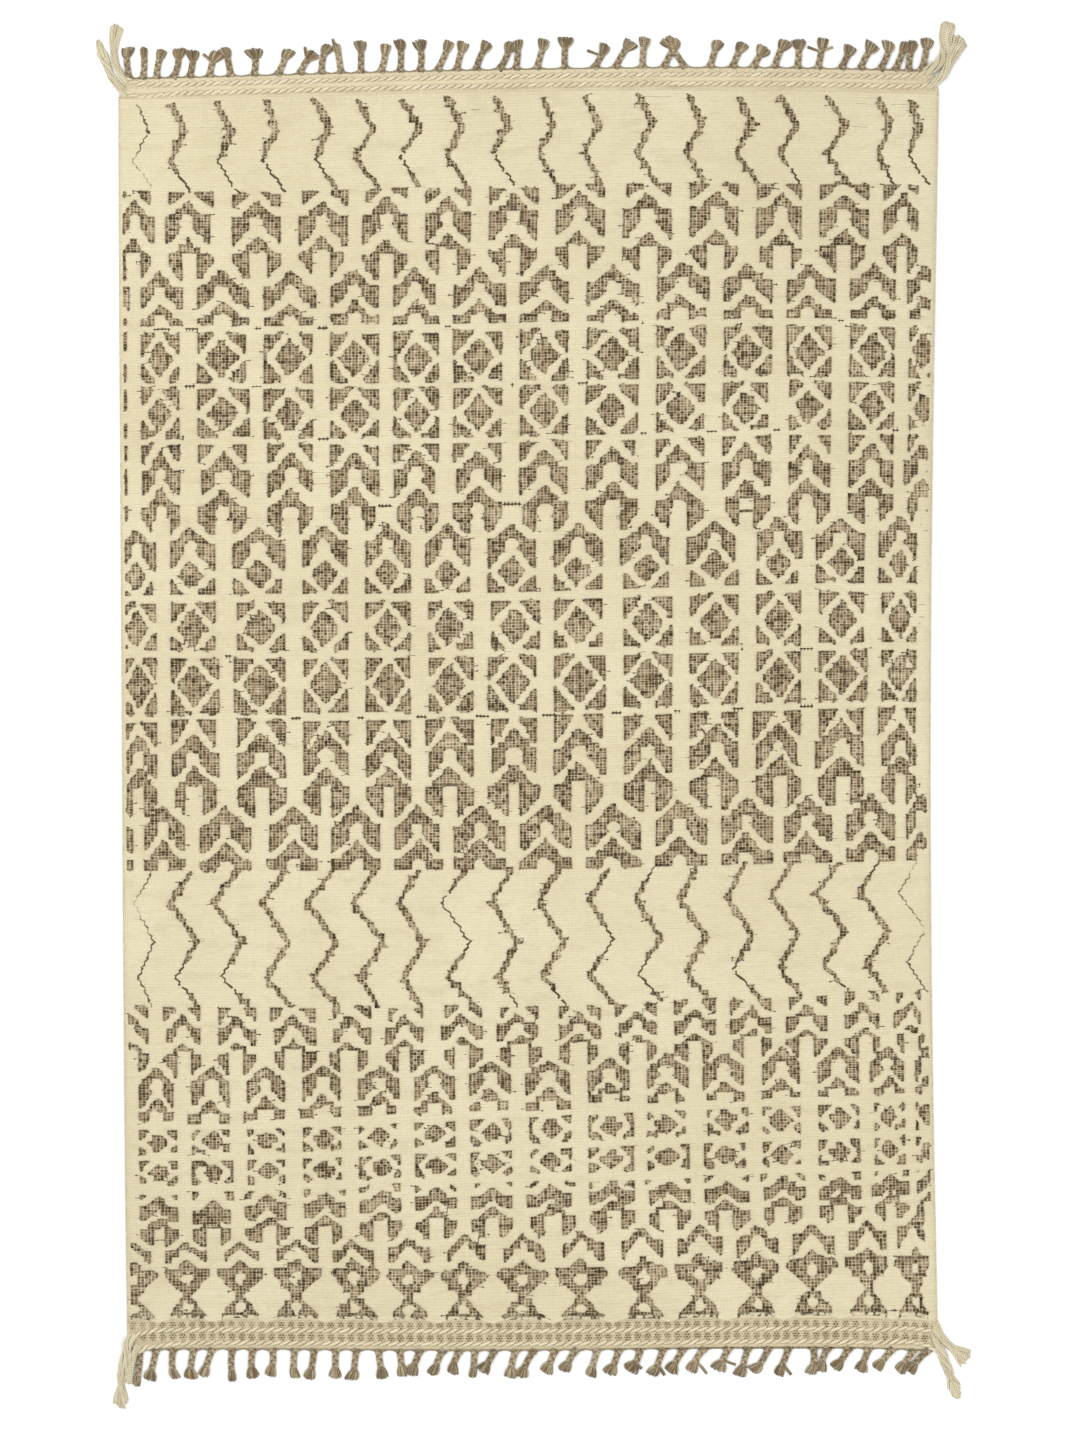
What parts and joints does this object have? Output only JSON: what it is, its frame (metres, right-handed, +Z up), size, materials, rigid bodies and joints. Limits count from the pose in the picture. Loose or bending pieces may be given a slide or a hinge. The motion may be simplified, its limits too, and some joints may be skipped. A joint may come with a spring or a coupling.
{
  "type": "hand-knotted wool floor rug with a fringe at both ends",
  "caption": "Flat rectangular rug of short cream pile over dark woven ground, with low woven end bands, knotted tassels along both ends and loose yarn bundles at the corners.",
  "frame": {"origin": "the point on the floor under the middle of the whole rug, tassels included", "axes": "+X across the rug to the right, +Y along it to the end with the zigzag band next to the fringe, +Z up out of the pile"},
  "size_m": [1.6466, 2.5996, 0.0114],
  "materials": {
    "wool_pile": "matte cream wool pile, short cut, with bare dark woven ground between",
    "brown_yarn": "matte brown-grey wool yarn, plaited and cut",
    "cream_yarn": "matte cream wool yarn in loose bundles"
  },
  "bodies": {
    "root": {"rug_body": "wool_pile", "fringe_top": "brown_yarn", "fringe_bottom": "brown_yarn", "corner_tassel_top_left": "cream_yarn", "corner_tassel_top_right": "cream_yarn", "corner_tassel_bottom_left": "cream_yarn", "corner_tassel_bottom_right": "cream_yarn"}
  },
  "joints": []
}
